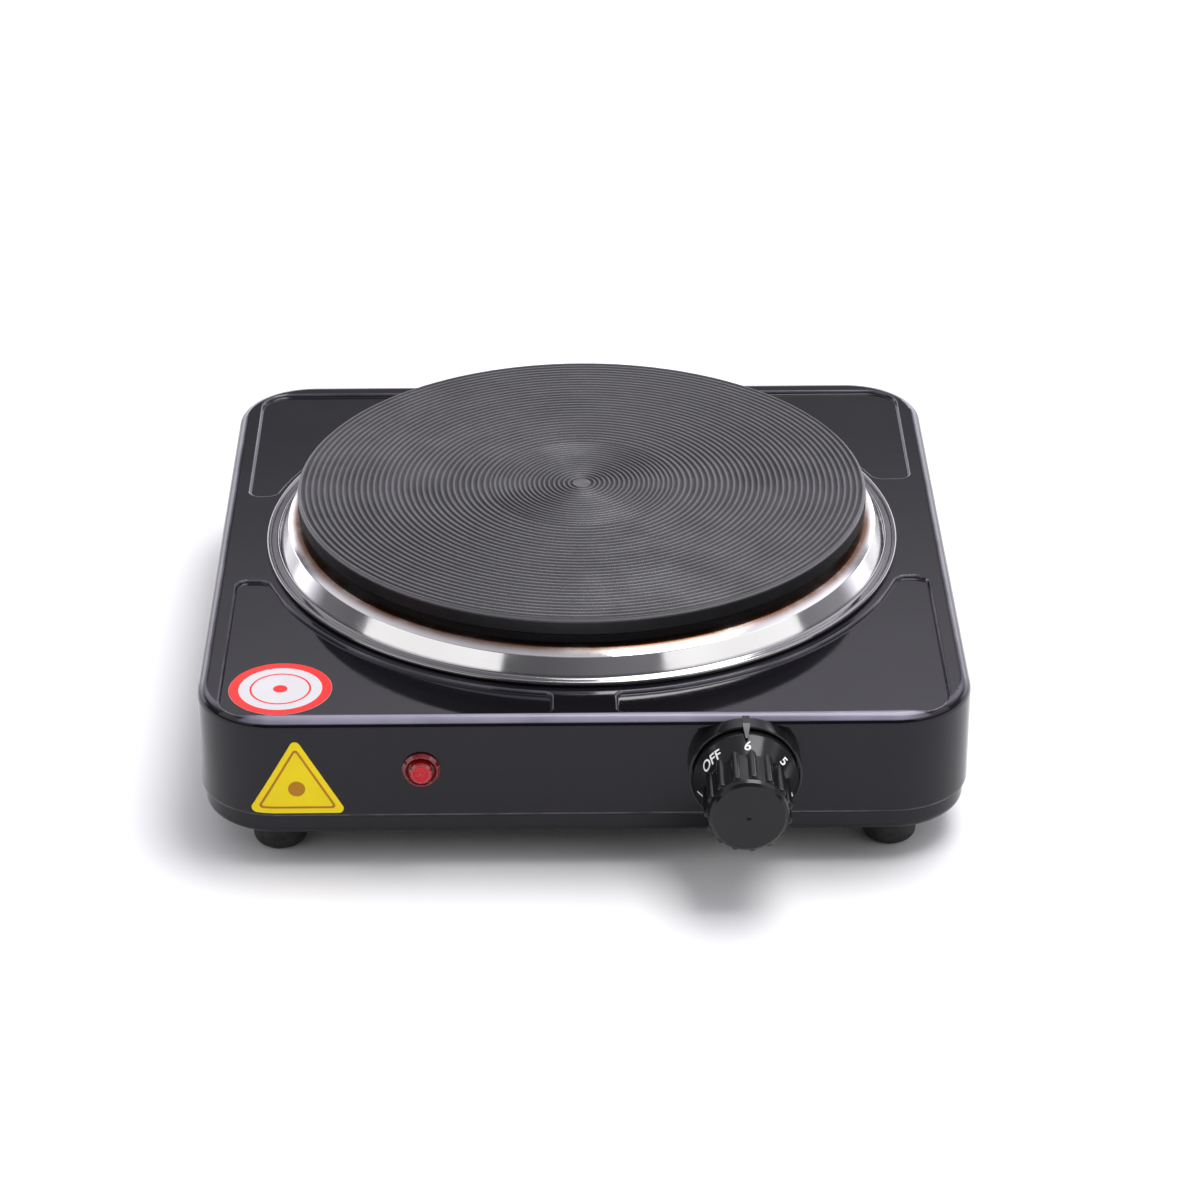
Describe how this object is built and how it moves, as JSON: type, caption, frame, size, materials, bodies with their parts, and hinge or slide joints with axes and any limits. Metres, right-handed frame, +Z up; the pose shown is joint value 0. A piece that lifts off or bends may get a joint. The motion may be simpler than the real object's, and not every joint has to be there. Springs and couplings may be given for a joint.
{
  "type": "hot plate burner",
  "caption": "Free-standing electric hot plate: grooved iron plate in a bright drip ring on a low black steel body, with a heat knob, a red pilot lamp and rubber feet.",
  "frame": {"origin": "on the floor under the middle of the object's bounding box, knob and cord gland included", "axes": "+Z up, -Y out of the front panel with the knob, +X to the right seen from the front"},
  "size_m": [0.237, 0.2704, 0.07],
  "materials": {
    "black_enamel": "semi-gloss",
    "cast_iron": "machined, dark coated",
    "bright_steel": "polished stainless",
    "zinc_steel": "zinc plated",
    "spring_steel": "spring steel",
    "brass": "plain",
    "silver_contact": "silver alloy",
    "rubber_black": "matte",
    "black_plastic": "gloss",
    "red_lens": "clear red",
    "ceramic": "steatite",
    "magnesia": "sintered powder",
    "white_nylon": "matte",
    "bulb_glass": "clear",
    "lead_sleeve": "woven glass sleeve",
    "earth_sleeve": "green and yellow",
    "resistor_sleeve": "heat-shrink",
    "yellow_label": "printed",
    "white_label": "printed"
  },
  "bodies": {
    "appliance": {"housing": "black_enamel", "base_tray": "black_enamel", "hot_plate": "cast_iron", "trim_ring": "bright_steel", "corner_brackets": "zinc_steel", "foot_screws": "zinc_steel", "plate_cover": "zinc_steel", "plate_stud": "zinc_steel", "clamp_bridge": "zinc_steel", "heat_shield": "zinc_steel", "stud_washer": "zinc_steel", "stud_nut": "zinc_steel", "bush_nut": "zinc_steel", "thermostat_bracket": "zinc_steel", "thermostat_rivet": "zinc_steel", "terminal_screws": "zinc_steel", "block_screws": "zinc_steel", "coil_inner": "spring_steel", "coil_outer": "spring_steel", "fixed_leaf": "spring_steel", "arm_terminal": "spring_steel", "bimetal_strip": "spring_steel", "pilot_retainer": "spring_steel", "plate_terminals": "brass", "coil_links": "brass", "thermostat_bush": "brass", "terminal_clamps": "brass", "earth_tag": "brass", "earth_screw": "brass", "fixed_contact": "silver_contact", "feet": "rubber_black", "cord_gland": "rubber_black", "knob_bezel": "black_plastic", "pilot_lens": "red_lens", "plate_terminal_block": "ceramic", "thermostat_insulators": "ceramic", "coil_insulation": "magnesia", "mains_terminal_block": "white_nylon", "pilot_bulb": "bulb_glass", "lead_live": "lead_sleeve", "lead_neutral": "lead_sleeve", "lead_heating": "lead_sleeve", "lamp_leads": "lead_sleeve", "lead_earth": "earth_sleeve", "pilot_resistor": "resistor_sleeve", "front_label": "yellow_label", "panel_label": "white_label"},
    "knob": {"knob": "black_plastic", "knob_clip": "spring_steel", "spindle": "zinc_steel", "spindle_circlip": "spring_steel"},
    "thermostat_pin": {"thermostat_pin": "ceramic"},
    "contact_arm": {"contact_arm": "spring_steel", "moving_contact": "silver_contact"}
  },
  "joints": [
    {"name": "knob_turn", "type": "hinge", "parent": "appliance", "child": "knob", "pos_m": [0.0483, -0.1058, 0.0346], "axis": [0, -1, 0], "range_deg": [0, 308.57]},
    {"name": "pin_slide", "type": "slide", "parent": "appliance", "child": "thermostat_pin", "axis": [0, 1, 0], "range_m": [0, 0.00081]},
    {"name": "contact_arm_swing", "type": "hinge", "parent": "appliance", "child": "contact_arm", "pos_m": [0.0317, -0.0908, 0.0346], "axis": [0, 0, 1], "range_deg": [0, 2.78]}
  ],
  "couplings": [
    {"joint": "pin_slide", "follows": "knob_turn", "m_per_rad": 0.00014855},
    {"joint": "contact_arm_swing", "follows": "knob_turn", "ratio": 0.0089485}
  ]
}
